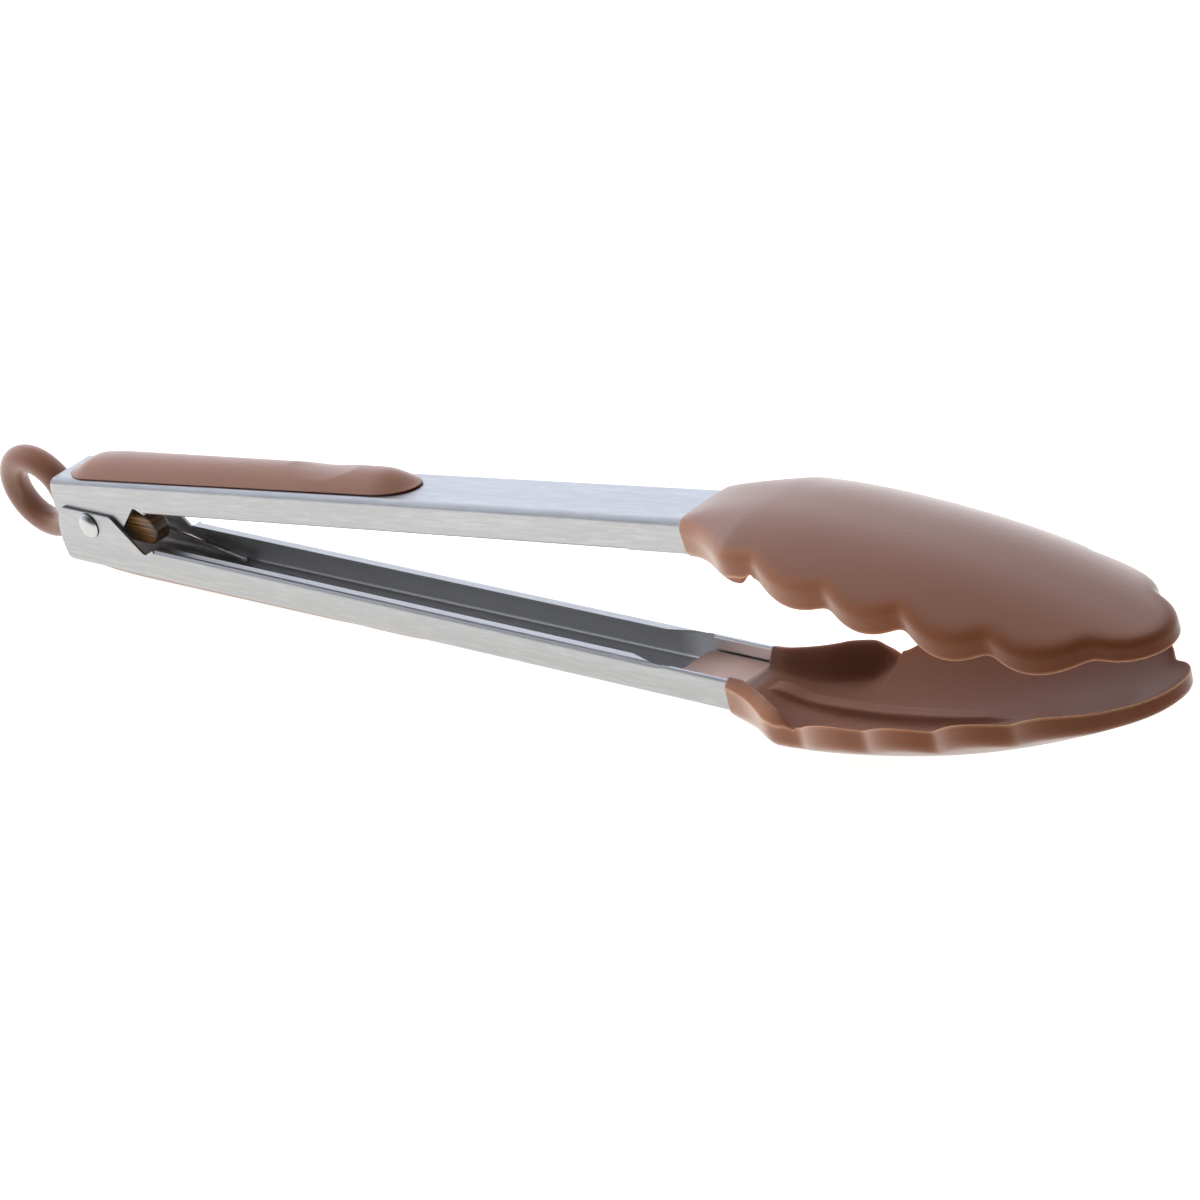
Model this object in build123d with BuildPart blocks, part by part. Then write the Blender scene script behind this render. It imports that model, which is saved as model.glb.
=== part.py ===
from build123d import *
import math
import os

os.makedirs("parts", exist_ok=True)

# ------------------------------------------------------------------
# Driving dimensions, mm. Working frame while drawing: X along the lower
# arm from the hinge axis to the tip, Y along the hinge axis, Z up from
# the outer face of the arm's back plate. One move at the end puts the
# pieces in the part frame: Z = 0 on the table, X = 0 mid-length.
# ------------------------------------------------------------------
shift_x = -129.55           # hinge axis to part frame
shift_z = 3.7              # back plate of the lower arm above the table
pivot_z = 10.05            # hinge axis above the back plate
rest_angle = 6.55          # angle between the arms at rest, degrees

sheet = 0.6                # steel sheet
cheek_h = 7.1              # height of the cheeks
bend_r = 1.5               # outer bend, back plate to cheek
lip_r = 0.95               # outer bend, cheek to lip
lip_w = 2.3                # width of the folded lip
edge_r = 0.5               # rounding along the bare edge past the lips
ear_h = 13.1               # height of the hinge ears
lip_start, lip_end = 19.0, 166.5
hem_start, steel_end = 168.5, 187.0
hem_z = 4.3                # lower edge of the hem folded flat inside the cheek
lower_w_hinge, lower_w_head = 14.4, 15.0
upper_w_hinge, upper_w_head = 12.9, 14.4

rivet_r = 1.8
rivet_hole_r = 1.85
rivet_head_r = 2.9
rivet_head_h = 1.15

spacer_r = 2.5
wire = 1.1
coil_r = 3.3
coil_y0, coil_y1 = 1.05, 5.0

slide_travel = 3.0
slide_h = 6.8
slide_y0, slide_y1 = -4.4, -0.4
slide_x0, slide_x1 = -9.0, 18.5

ring_r, ring_tube = 8.3, 3.0
ring_x, ring_dz, ring_lean = -22.6, 1.2, 8.0

grip_h = 3.7
grip_x0, grip_x1 = -6.3, 102.2
grip_half = 5.75

sleeve_x = 184.0           # where the silicone meets the bare steel
tip_x = 293.0


# ------------------------------------------------------------------
# Helpers
# ------------------------------------------------------------------
def across(x):
    """Plane across the arm at x: local X is +Y, local Y is +Z."""
    return Plane(origin=(x, 0, 0), x_dir=(0, 1, 0), z_dir=(1, 0, 0))


SIDE = Plane(origin=(0, 0, 0), x_dir=(1, 0, 0), z_dir=(0, -1, 0))


def at_lower(piece):
    return Pos(shift_x, 0, shift_z) * piece


def at_upper(piece):
    turned = Pos(0, 0, pivot_z) * Rot(0, -rest_angle, 0) * Rot(180, 0, 0) * Pos(0, 0, -pivot_z)
    return Pos(shift_x, 0, shift_z) * turned * piece


def u_shape(w, h, r, top_r):
    """Flat face w wide and h high standing on the X axis, corners rounded."""
    with BuildSketch() as u:
        with Locations((0, h / 2)):
            Rectangle(w, h)
        fillet(u.vertices().group_by(Axis.Y)[0], r)
        if top_r > 0:
            fillet(u.vertices().group_by(Axis.Y)[-1], top_r)
    return u.sketch


def channel_face(x, w, lip):
    """Folded section at x: width w, lips of width lip turned inward."""
    outer = u_shape(w, cheek_h, bend_r, lip_r if lip > 0 else edge_r)
    depth = cheek_h - 2 * sheet if lip > 0 else cheek_h + 3
    inner = u_shape(w - 2 * sheet, depth, bend_r - sheet, lip_r - sheet if lip > 0 else 0)
    with BuildSketch(across(x)) as s:
        add(outer)
        with Locations((0, sheet)):
            add(inner, mode=Mode.SUBTRACT)
        if lip > 0:
            with Locations((0, cheek_h)):
                Rectangle(w - 2 * lip, 4 * sheet, mode=Mode.SUBTRACT)
    return s.sketch


def hem_face(x, w):
    """Section at x where the edge of the cheek is folded flat onto its inside."""
    low = u_shape(w - 2 * sheet, hem_z - sheet, bend_r - sheet, 0)
    with BuildSketch() as h:
        add(u_shape(w, cheek_h, bend_r, 0))
        with Locations((0, sheet)):
            add(low, mode=Mode.SUBTRACT)
        with Locations((0, cheek_h)):
            Rectangle(w - 4 * sheet - 0.1, 2 * (cheek_h - hem_z), mode=Mode.SUBTRACT)
        fillet(h.vertices().group_by(Axis.Y)[-1], edge_r)
    with BuildSketch(across(x)) as s:
        add(h.sketch)
    return s.sketch


def width_at(x, w0, w1):
    return w0 + (w1 - w0) * (x - lip_start) / (sleeve_x - lip_start)


def make_arm(w0, w1):
    # hinge end: plain channel with tall ears, trimmed to the side profile
    ear_outer = u_shape(w0, ear_h, bend_r, 0)
    ear_inner = u_shape(w0 - 2 * sheet, ear_h, bend_r - sheet, 0)
    with BuildPart() as ears:
        with BuildSketch(across(-14)):
            add(ear_outer)
            with Locations((0, sheet)):
                add(ear_inner, mode=Mode.SUBTRACT)
        extrude(amount=14 + lip_start)
        with BuildSketch(SIDE) as prof:
            with BuildLine():
                Spline((-8.9, -0.5), (-10.35, 4.6), (-10.1, 9.2), (-8.6, ear_h - 0.8))
                ThreePointArc((-8.6, ear_h - 0.8), (-8.1, ear_h - 0.15), (-7.3, ear_h))
                Line((-7.3, ear_h), (6.6, ear_h))
                ThreePointArc((6.6, ear_h), (7.55, ear_h - 0.2), (8.3, ear_h - 0.75))
                Line((8.3, ear_h - 0.75), (15.2, 6.15))
                ThreePointArc((15.2, 6.15), (16.1, 5.75), (17.0, 6.05))
                Line((17.0, 6.05), (lip_start, cheek_h))
                Polyline((lip_start, cheek_h), (lip_start + 2, cheek_h), (lip_start + 2, -0.5), (-8.9, -0.5))
            make_face()
        extrude(amount=20, both=True, mode=Mode.INTERSECT)
        with BuildSketch(SIDE) as bore:
            with Locations((0, pivot_z)):
                Circle(rivet_hole_r)
        extrude(amount=20, both=True, mode=Mode.SUBTRACT)
    # straight run with folded lips, a plain gap, then the hemmed end in the head
    lipped = [channel_face(x, width_at(x, w0, w1), lip_w) for x in (lip_start, lip_end)]
    plain = [channel_face(x, width_at(x, w0, w1), 0) for x in (lip_end, hem_start)]
    hemmed = [hem_face(x, width_at(x, w0, w1)) for x in (hem_start, steel_end)]
    with BuildPart() as run:
        loft(lipped, ruled=True)
        # the lips run out in an S before the gap
        for side in (1, -1):
            wall = width_at(lip_end, w0, w1) / 2
            y_in = side * (wall - lip_w - 0.4)
            y_out = side * (wall - sheet + 0.1)
            with BuildSketch(Plane.XY.offset(cheek_h - sheet - 0.25)) as cut:
                with BuildLine():
                    Spline((lip_end - 13, y_in), (lip_end - 6.5, (y_in + y_out) / 2), (lip_end - 1, y_out),
                           tangents=[(1, 0), (1, side * 0.05)])
                    Polyline((lip_end - 1, y_out), (lip_end + 1, y_out), (lip_end + 1, y_in), (lip_end - 13, y_in))
                make_face()
            extrude(amount=3, mode=Mode.SUBTRACT)
    with BuildPart() as gap:
        loft(plain, ruled=True)
    with BuildPart() as hem:
        loft(hemmed, ruled=True)
    with BuildPart() as arm:
        add(ears.part)
        add(run.part)
        add(gap.part)
        add(hem.part)
    return arm.part


# Silicone head. Bowl stations: both skins rise from the keel with the same curve.
bowl_c, bowl_n = 0.00314, 2.6
reach = 23.0
bowl_stations = [           # x, outer keel height, thickness at the rim, how much thinner it is at the keel
    (209.0, -2.4, 4.65, 1.0), (217.0, -1.6, 4.95, 1.5), (226.0, -0.3, 4.7, 1.45), (236.0, 1.5, 4.4, 1.2), (246.0, 3.65, 4.3, 0.9),
    (256.0, 6.3, 4.3, 0.6), (266.0, 9.45, 4.3, 0.3), (276.0, 13.0, 4.2, 0.1), (286.0, 16.9, 3.8, 0.0), (296.0, 21.1, 3.3, 0.0),
    (301.0, 23.3, 3.1, 0.0),
]
hollow_half = 17.5          # half width over which the bowl is hollowed out
# Sleeve stations: x, half width, outer floor, lower edge of the rim, exponent, inner floor,
# foot of the side wall, its ridge, ridge height, height of the rim crest.
sleeve_stations = [
    (184.0, 8.40, -0.75, 0.30, 8.0, 3.90, 3.6, 6.4, 7.60, 6.10),
    (190.0, 9.95, -1.90, 0.55, 5.0, 3.05, 4.3, 7.7, 7.65, 6.05),
    (196.5, 13.25, -2.50, 1.40, 3.5, 1.75, 6.4, 10.8, 8.05, 6.05),
    (203.0, 16.30, -2.69, 1.72, 2.75, 1.35, 10.6, 14.1, 8.35, 6.15),
]

# plan outline of one side of the rim: valleys and the lobe peaks between
valleys = [(209.8, 15.6), (228.6, 17.5), (246.4, 17.3), (265.0, 16.2), (283.8, 9.8)]
lobes = [(218.9, 18.8), (237.5, 19.95), (256.2, 19.7), (276.4, 16.1)]


def rim_outline(side):
    """Edges of one side of the plan outline, root to tip."""
    p = lambda q: (q[0], side * q[1])
    Spline(p((183.0, 8.2)), p((187.0, 9.05)), p((190.0, 9.95)), p((193.2, 11.4)), p((196.5, 13.25)), p((199.5, 15.1)))
    ThreePointArc(p((199.5, 15.1)), p((204.2, 16.6)), p(valleys[0]))
    for a, m, b in zip(valleys[:-1], lobes, valleys[1:]):
        ThreePointArc(p(a), p(m), p(b))


def make_core():
    line = [(171.0, 2.0), (190.0, 1.3), (198.0, 0.0), (207.0, -0.5), (216.0, -0.1), (226.0, 1.1),
            (240.0, 3.8), (255.0, 7.7), (270.0, 12.7), (282.0, 17.4)]
    half = 0.6
    with BuildPart() as core:
        with BuildSketch(SIDE):
            with BuildLine():
                Spline(*[(x, z + half) for x, z in line])
                Line((282.0, line[-1][1] + half), (282.0, line[-1][1] - half))
                Spline(*[(x, z - half) for x, z in reversed(line)])
                Line((171.0, 2.0 - half), (171.0, 2.0 + half))
            make_face()
        extrude(amount=12, both=True)
        with BuildSketch(Plane.XY.offset(-8)) as plan:
            with BuildLine():
                Polyline((171, -4.5), (198, -4.5), (209, -7), (274, -7))
                ThreePointArc((274, -7), (281, 0), (274, 7))
                Polyline((274, 7), (209, 7), (198, 4.5), (171, 4.5), (171, -4.5))
            make_face()
        extrude(amount=40, mode=Mode.INTERSECT)
    return core.part


def section(x, outer, inner):
    """Closed section at x from half profiles of the outer and the inner skin, keel to rim."""
    def whole(half):
        return [(-y, z) for y, z in reversed(half[1:])] + half

    with BuildSketch(across(x)) as s:
        with BuildLine():
            Spline(*whole(outer))
            Line(outer[-1], inner[-1])
            Spline(*reversed(whole(inner)))
            Line((-inner[-1][0], inner[-1][1]), (-outer[-1][0], outer[-1][1]))
        make_face()
    return s.sketch


def hollow(y, deep):
    """How far the inner skin is sunk at y below the even wall."""
    return deep * max(0.0, 1 - (y / hollow_half) ** 2)


def bowl_section(x, keel, t, deep):
    ys = [reach * f for f in (0, 0.4, 0.7, 0.9, 1)]
    return section(x, [(y, keel + bowl_c * y ** bowl_n) for y in ys],
                   [(y, keel + t - hollow(y, deep) + 1.03 * bowl_c * y ** bowl_n) for y in ys])


def sleeve_section(x, half, floor, edge, n, inner, foot, ridge, top, crest):
    outer = [(f * half, floor + (edge - floor) * f ** n) for f in (0, 0.4, 0.7, 0.88, 1.0, 1.06)]
    shoulder = top - (top - crest) * 0.29
    past = crest - (top - crest) * 0.3
    skin = [(0, inner), (foot * 0.5, inner), (foot, inner), ((foot + ridge) / 2, (inner + top) / 2), (ridge, top),
            ((ridge + half) / 2, shoulder), (half, crest), (half * 1.06, past)]
    return section(x, outer, skin)


def sleeve_end():
    """The first bowl station, drawn with the points of the sleeve so that both lofts share it."""
    x, keel, t, deep = bowl_stations[0]
    half = 16.2
    return section(x, [(f * half, keel + bowl_c * (f * half) ** bowl_n) for f in (0, 0.4, 0.7, 0.88, 1.0, 1.06)],
                   [(y, keel + t - hollow(y, deep) + 1.03 * bowl_c * y ** bowl_n) for y in (0, 6.5, 13.0, 14.0, 15.0, 15.6, half, half * 1.06)])


def rim_face():
    with BuildSketch(Plane.XY.offset(-12)) as plan:
        with BuildLine():
            rim_outline(1)
            ThreePointArc((valleys[-1][0], valleys[-1][1]), (tip_x, 0), (valleys[-1][0], -valleys[-1][1]))
            rim_outline(-1)
            Line((183.0, -8.2), (183.0, 8.2))
        make_face()
    return plan.sketch


def make_head(arm, core):
    meeting = sleeve_end()
    root_sections = [sleeve_section(*st) for st in sleeve_stations] + [meeting]
    bowl_sections = [meeting] + [bowl_section(*st) for st in bowl_stations[1:]]
    outline = rim_face()
    # sleeve that flares from the steel into the bowl
    with BuildPart() as root:
        loft(root_sections)
        extrude(outline, amount=60, mode=Mode.INTERSECT)
    # scoop with the scalloped rim
    with BuildPart() as bowl:
        loft(bowl_sections)
        extrude(outline, amount=60, mode=Mode.INTERSECT)
    with BuildPart() as head:
        add(bowl.part)
        add(root.part)
        # tongue in the channel
        with BuildSketch(Plane.XY.offset(sheet)) as tongue:
            with BuildLine():
                Polyline((168.0, -6.4), (186.0, -6.4), (186.0, 6.4), (168.0, 6.4))
                ThreePointArc((168.0, 6.4), (167.0, 6.0), (166.6, 5.0))
                Line((166.6, 5.0), (166.6, -5.0))
                ThreePointArc((166.6, -5.0), (167.0, -6.0), (168.0, -6.4))
            make_face()
        extrude(amount=3.88 - sheet)
        # rib along the middle of the scoop
        with BuildSketch(SIDE) as rib:
            with BuildLine():
                Spline((188.0, 3.0), (189.5, 3.45), (197.0, 2.85), (206.0, 2.75), (218.0, 3.6), (227.0, 4.75), (237.0, 6.3), (249.0, 8.75), (255.0, 10.15))
                Line((255.0, 10.15), (255.0, 8.5))
                Spline((255.0, 8.5), (236.7, 3.7), (221.5, 1.3), (206.0, 0.4), (190.0, 1.6), (188.0, 1.8))
                Line((188.0, 1.8), (188.0, 3.0))
            make_face()
        extrude(amount=2.0, both=True)
        add(arm, mode=Mode.SUBTRACT)
        add(core, mode=Mode.SUBTRACT)
    return head.part


def make_grip():
    with BuildPart() as grip:
        # domed section with a narrow flat crown, drawn downward from the back plate
        dome = [(5.75, 0.35), (4.9, 1.35), (3.6, 2.5), (1.8, 3.45)]
        with BuildSketch(across(grip_x0 - 1)) as s:
            with BuildLine():
                Line((-grip_half, 0), (-grip_half, -0.35))
                Spline(*[(-y, -z) for y, z in dome], (0, -grip_h - 0.15), *[(y, -z) for y, z in reversed(dome)])
                Polyline((grip_half, -0.35), (grip_half, 0), (-grip_half, 0))
            make_face()
        extrude(amount=grip_x1 - grip_x0 + 2)
        # plan: rounded start, slight taper, rounded nose
        with BuildSketch(Plane.XY.offset(-6)) as plan:
            with BuildLine():
                a, b = (1.0, grip_half), (91.0, grip_half - 0.75)
                Line(a, b)
                Spline(b, (98.6, 3.4), (grip_x1, 0), (98.6, -3.4), (91.0, -grip_half + 0.75),
                       tangents=[(1, -0.01), (-1, -0.01)])
                Line((91.0, -grip_half + 0.75), (1.0, -grip_half))
                Spline((1.0, -grip_half), (-4.2, -3.6), (grip_x0, 0), (-4.2, 3.6), (1.0, grip_half),
                       tangents=[(-1, 0.01), (1, 0.01)])
            make_face()
        extrude(amount=12, mode=Mode.INTERSECT)
        # side: the ends roll down to the plate
        with BuildSketch(SIDE) as side:
            with BuildLine():
                Spline((grip_x0 - 0.2, -0.4), (-3.0, -2.05), (3.0, -3.2), (12.0, -grip_h), tangents=[(0.5, -1), (1, 0)])
                Line((12.0, -grip_h), (88.0, -grip_h))
                Spline((88.0, -grip_h), (97.0, -3.2), (100.6, -1.9), (grip_x1 + 0.2, -0.3), tangents=[(1, 0), (0.35, 1)])
                Polyline((grip_x1 + 0.2, -0.3), (grip_x1 + 0.2, 1), (grip_x0 - 0.2, 1), (grip_x0 - 0.2, -0.4))
            make_face()
        extrude(amount=12, both=True, mode=Mode.INTERSECT)
        with Locations((48, 0, -grip_h / 2)):
            Box(140, 20, grip_h, mode=Mode.INTERSECT)
        # shallow thumb dish
        with Locations((74.5, 0, -grip_h - 21.4)):
            Sphere(22.0, mode=Mode.SUBTRACT)
    return grip.part


# ------------------------------------------------------------------
# Arms
# ------------------------------------------------------------------
lower_raw = make_arm(lower_w_hinge, lower_w_head)
upper_raw = make_arm(upper_w_hinge, upper_w_head)
lower_arm = at_lower(lower_raw)
upper_arm = at_upper(upper_raw)

# ------------------------------------------------------------------
# Heads and their cores
# ------------------------------------------------------------------
core_raw = make_core()
lower_head_core = at_lower(core_raw)
upper_head_core = at_upper(core_raw)
lower_head = at_lower(make_head(lower_raw, core_raw))
upper_head = at_upper(make_head(upper_raw, core_raw))

# ------------------------------------------------------------------
# Grips
# ------------------------------------------------------------------
grip_raw = make_grip()
lower_grip = at_lower(grip_raw)
upper_grip = at_upper(grip_raw)

# ------------------------------------------------------------------
# Hinge rivet with two domed heads, spacer tube on its shank
# ------------------------------------------------------------------
ear_face = lower_w_hinge / 2 + 0.05
with BuildPart() as hinge_rivet:
    Cylinder(rivet_r, 2 * ear_face + 0.2, rotation=(90, 0, 0))
    for side in (1, -1):
        with BuildSketch(Plane(origin=(0, side * ear_face, 0), z_dir=(0, side, 0))):
            Circle(rivet_head_r)
        extrude(amount=rivet_head_h)
    fillet(hinge_rivet.edges().group_by(Axis.Y)[0], rivet_head_h - 0.2)
    fillet(hinge_rivet.edges().group_by(Axis.Y)[-1], rivet_head_h - 0.2)
rivet = at_lower(Pos(0, 0, pivot_z) * hinge_rivet.part)

with BuildPart() as hinge_spacer:
    with BuildSketch(Plane.XZ.offset(-5.7)):
        Circle(spacer_r)
        Circle(rivet_r + 0.05, mode=Mode.SUBTRACT)
    extrude(amount=5.4)
spacer = at_lower(Pos(0, 0, pivot_z) * hinge_spacer.part)

# ------------------------------------------------------------------
# Torsion spring: coil on the spacer, long leg in the lower channel,
# second leg under the upper plate
# ------------------------------------------------------------------
leg_low, leg_up = -8.6, 15.0            # slopes of the two legs, degrees
phi0 = 90 + leg_up
phi1 = -90 + leg_low + 4 * 360
turns = 66
points = []
for d in (24.0, 18.0, 12.0, 6.0, 2.5):
    a = math.radians(phi0)
    points.append((coil_r * math.cos(a) + d * math.cos(math.radians(leg_up)), coil_y0,
                   pivot_z + coil_r * math.sin(a) + d * math.sin(math.radians(leg_up))))
for i in range(turns + 1):
    f = i / turns
    a = math.radians(phi0 + (phi1 - phi0) * f)
    points.append((coil_r * math.cos(a), coil_y0 + (coil_y1 - coil_y0) * f, pivot_z + coil_r * math.sin(a)))
for d in (2.5, 7.0, 14.0, 21.0, 28.0, 35.0):
    a = math.radians(phi1)
    points.append((coil_r * math.cos(a) + d * math.cos(math.radians(leg_low)), coil_y1,
                   pivot_z + coil_r * math.sin(a) + d * math.sin(math.radians(leg_low))))
with BuildPart() as torsion_spring:
    with BuildLine() as spring_path:
        Spline(*points)
    with BuildSketch(Plane(origin=spring_path.line @ 0, z_dir=spring_path.line % 0)):
        Circle(wire / 2)
    sweep(path=spring_path.line, is_frenet=False)
spring = at_lower(torsion_spring.part)

# ------------------------------------------------------------------
# Lock slide: slotted bar riding on the rivet shank, tail into the ring
# ------------------------------------------------------------------
slide_mid = (slide_y0 + slide_y1) / 2
with BuildPart() as lock_slider:
    with BuildSketch(SIDE.offset(-slide_y1)) as body:
        with BuildLine():
            h = slide_h / 2
            Line((slide_x0, pivot_z - h), (slide_x1 - h, pivot_z - h))
            ThreePointArc((slide_x1 - h, pivot_z - h), (slide_x1, pivot_z), (slide_x1 - h, pivot_z + h))
            Polyline((slide_x1 - h, pivot_z + h), (slide_x0, pivot_z + h), (slide_x0, pivot_z - h))
        make_face()
        with Locations((slide_travel / 2 + 0.05, pivot_z)):
            SlotCenterToCenter(slide_travel + 0.1, 2 * (rivet_r + 0.1), mode=Mode.SUBTRACT)
    extrude(amount=slide_y1 - slide_y0)
    fillet(lock_slider.edges().filter_by(Axis.X), 0.6)
    with Locations((-10.9, -0.7, pivot_z)):
        Box(6.2, 5.2, 3.4)
slider_raw = lock_slider.part
slider = at_lower(slider_raw)

with BuildPart() as pull_ring:
    with BuildSketch(Plane.XY.offset(0)):
        with Locations((ring_r, 0)):
            Circle(ring_tube)
    revolve(axis=Axis.Y)
ring_raw = Pos(ring_x, 0, pivot_z + ring_dz) * Rot(ring_lean, 0, 0) * pull_ring.part
with BuildPart() as pull_ring_cut:
    add(ring_raw)
    add(slider_raw, mode=Mode.SUBTRACT)
ring = at_lower(pull_ring_cut.part)

# ------------------------------------------------------------------
# Export, one file per piece
# ------------------------------------------------------------------
pieces = {
    "lower_arm": lower_arm,
    "upper_arm": upper_arm,
    "lower_head": lower_head,
    "upper_head": upper_head,
    "lower_head_core": lower_head_core,
    "upper_head_core": upper_head_core,
    "lower_grip": lower_grip,
    "upper_grip": upper_grip,
    "hinge_rivet": rivet,
    "hinge_spacer": spacer,
    "torsion_spring": spring,
    "lock_slider": slider,
    "pull_ring": ring,
}
for name, piece in pieces.items():
    piece.label = name
    export_step(piece, "parts/" + name + ".step")
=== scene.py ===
import math

import bpy
import numpy as np
from mathutils import Matrix, Vector
from mathutils.kdtree import KDTree


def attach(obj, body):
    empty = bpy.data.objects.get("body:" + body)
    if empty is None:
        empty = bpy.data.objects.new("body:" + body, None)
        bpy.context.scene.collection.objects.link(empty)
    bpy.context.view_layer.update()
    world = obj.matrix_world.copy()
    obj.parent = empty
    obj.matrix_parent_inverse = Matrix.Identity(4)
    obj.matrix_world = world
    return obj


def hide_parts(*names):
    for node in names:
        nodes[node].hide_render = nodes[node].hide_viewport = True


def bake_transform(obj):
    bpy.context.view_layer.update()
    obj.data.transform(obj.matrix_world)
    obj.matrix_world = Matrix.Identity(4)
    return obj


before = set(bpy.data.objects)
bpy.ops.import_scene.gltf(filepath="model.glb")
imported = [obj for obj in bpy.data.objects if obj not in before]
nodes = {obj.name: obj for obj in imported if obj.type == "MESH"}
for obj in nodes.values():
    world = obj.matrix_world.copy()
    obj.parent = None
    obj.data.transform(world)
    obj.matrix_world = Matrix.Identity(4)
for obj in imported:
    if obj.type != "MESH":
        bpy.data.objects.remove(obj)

scene = bpy.context.scene
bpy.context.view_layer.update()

# ------------------------------------------------------------------
# Local frames. Every outline below is in millimetres in the frame of one
# arm: x from the hinge axis to the tip, y along the hinge, z from the
# outer face of the back plate towards the other arm.
# ------------------------------------------------------------------
SHIFT = np.array([-129.55, 0.0, 3.7])
PIVOT_Z = 10.05
REST = math.radians(6.55)


def to_lower(p):
    return (np.asarray(p, float) + SHIFT) * 0.001


def to_upper(p):
    p = np.asarray(p, float)
    x, y, z = p[..., 0], -p[..., 1], PIVOT_Z - p[..., 2]
    c, s = math.cos(REST), math.sin(REST)
    q = np.stack([x * c - z * s, y, x * s + z * c + PIVOT_Z], -1)
    return (q + SHIFT) * 0.001


def smoothstep(a, b, x):
    t = np.clip((np.asarray(x, float) - a) / (b - a), 0, 1)
    return t * t * (3 - 2 * t)


def curve(points):
    """Smooth function of x through the points (natural cubic spline, straight outside)."""
    xs = np.array([p[0] for p in points], float)
    ys = np.array([p[1] for p in points], float)
    n, h = len(xs), np.diff(xs)
    m = np.zeros((n, n))
    r = np.zeros(n)
    m[0, 0] = m[-1, -1] = 1
    for i in range(1, n - 1):
        m[i, i - 1 : i + 2] = h[i - 1], 2 * (h[i - 1] + h[i]), h[i]
        r[i] = 6 * ((ys[i + 1] - ys[i]) / h[i] - (ys[i] - ys[i - 1]) / h[i - 1])
    k = np.linalg.solve(m, r)

    def f(x):
        x = np.clip(np.asarray(x, float), xs[0], xs[-1])
        i = np.clip(np.searchsorted(xs, x) - 1, 0, n - 2)
        a, b = (xs[i + 1] - x) / h[i], (x - xs[i]) / h[i]
        return a * ys[i] + b * ys[i + 1] + ((a**3 - a) * k[i] + (b**3 - b) * k[i + 1]) * h[i] ** 2 / 6

    return f


def new_object(name, verts, faces, body, replaces=(), smooth=True):
    mesh = bpy.data.meshes.new(name)
    mesh.from_pydata([tuple(v) for v in verts], [], [tuple(f) for f in faces])
    mesh.validate()
    mesh.update()
    obj = bpy.data.objects.new(name, mesh)
    scene.collection.objects.link(obj)
    if smooth:
        mesh.polygons.foreach_set("use_smooth", [True] * len(mesh.polygons))
    if body:
        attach(obj, body)
    if replaces:
        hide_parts(*replaces)
    return obj


def tidy(obj, distance=1e-6):
    """Merges coincident points and turns every face outward."""
    import bmesh

    bm = bmesh.new()
    bm.from_mesh(obj.data)
    bmesh.ops.remove_doubles(bm, verts=bm.verts, dist=distance)
    bmesh.ops.dissolve_degenerate(bm, edges=bm.edges, dist=distance)
    bmesh.ops.recalc_face_normals(bm, faces=bm.faces)
    for f in bm.faces:
        f.smooth = True
    bm.to_mesh(obj.data)
    bm.free()
    obj.data.update()


def boolean(obj, other, operation):
    mod = obj.modifiers.new("cut", "BOOLEAN")
    mod.operation, mod.solver, mod.object = operation, "EXACT", other
    bpy.context.view_layer.update()
    made = bpy.data.meshes.new_from_object(obj.evaluated_get(bpy.context.evaluated_depsgraph_get()))
    obj.modifiers.clear()
    old, obj.data = obj.data, made
    bpy.data.meshes.remove(old)
    bpy.data.objects.remove(other)
    return obj


def resample(points, count):
    """Points spread evenly along a polyline, ends kept."""
    p = np.asarray(points, float)
    d = np.concatenate([[0], np.cumsum(np.linalg.norm(np.diff(p, axis=0), axis=1))])
    s = np.linspace(0, d[-1], count)
    return np.stack([np.interp(s, d, p[:, i]) for i in range(3)], -1)


def trim(points, length):
    """The polyline without its last length."""
    p = np.asarray(points, float)
    d = np.concatenate([[0], np.cumsum(np.linalg.norm(np.diff(p, axis=0), axis=1))])
    end = d[-1] - length
    keep = p[d < end - 1e-9]
    return np.vstack([keep, [np.interp(end, d, p[:, i]) for i in range(3)]])


def corner(a, c, b, count):
    """Rounded corner from a to b about c, ends left out."""
    t = np.linspace(0, 1, count + 2)[1:-1, None]
    return (1 - t) ** 2 * a + 2 * t * (1 - t) * c + t**2 * b


# ------------------------------------------------------------------
# Silicone scoop heads
# ------------------------------------------------------------------
ROOT = [
    # x, half width, outer floor, lower edge of the rim, exponent, inner floor, foot of the wall, ridge, ridge height, crest
    (184.0, 8.40, -0.75, 0.30, 8.0, 3.90, 3.6, 6.4, 7.60, 6.10),
    (187.0, 9.05, -1.40, 0.35, 6.2, 3.65, 3.7, 6.6, 7.60, 6.05),
    (190.0, 9.95, -1.90, 0.55, 5.0, 3.05, 4.3, 7.7, 7.65, 6.05),
    (193.2, 11.40, -2.25, 0.95, 4.2, 2.30, 5.2, 9.2, 7.75, 6.05),
    (196.5, 13.25, -2.50, 1.40, 3.5, 1.75, 6.4, 10.8, 8.05, 6.05),
    (199.5, 15.00, -2.63, 1.65, 3.05, 1.50, 8.2, 12.6, 8.35, 6.05),
    (203.0, 16.30, -2.69, 1.72, 2.75, 1.35, 10.6, 14.1, 8.35, 6.15),
    (206.0, 16.30, -2.60, 1.80, 2.65, 1.28, 12.2, 14.7, 8.30, 6.25),
    (209.0, 16.20, -2.40, 1.99, 2.6, 1.25, 13.0, 15.0, 8.30, 6.60),
    (300.0, 16.20, -2.40, 1.99, 2.6, 1.25, 13.0, 15.0, 8.30, 6.60),
]


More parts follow.
